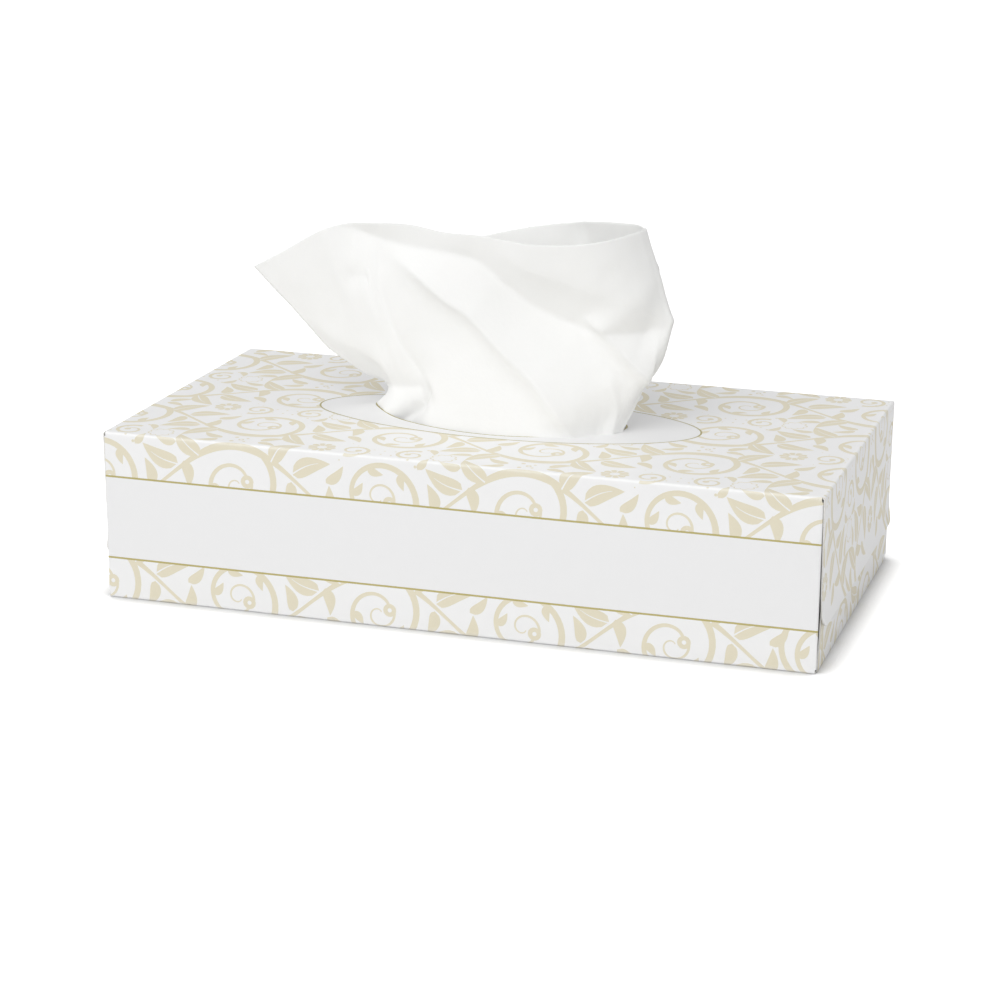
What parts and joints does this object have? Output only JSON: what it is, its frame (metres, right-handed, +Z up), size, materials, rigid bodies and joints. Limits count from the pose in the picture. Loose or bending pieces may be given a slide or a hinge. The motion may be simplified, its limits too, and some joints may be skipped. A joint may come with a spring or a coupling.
{
  "type": "tissue box",
  "caption": "Flat folded-board carton of facial tissues with an oval top opening and one tissue drawn up ready to take.",
  "frame": {"origin": "centre of the closed carton's bottom face, on the surface that it stands on", "axes": "+X along the carton's length, to the right seen from the front; +Y from the front long side to the back; +Z up, the way the tissue is drawn"},
  "size_m": [0.2384, 0.1252, 0.1221],
  "materials": {
    "carton_board": "satin",
    "glue": "matte",
    "tissue": "matte",
    "field_ink": "satin",
    "rule_ink": "satin",
    "vine_ink": "satin"
  },
  "bodies": {
    "root": {"carton": "carton_board", "seam_glue": "glue", "end_flap_glue": "glue", "tissue_stack": "tissue", "raised_tissue": "tissue", "printed_fields": "field_ink", "printed_rules": "rule_ink", "printed_vine": "vine_ink"}
  },
  "joints": []
}
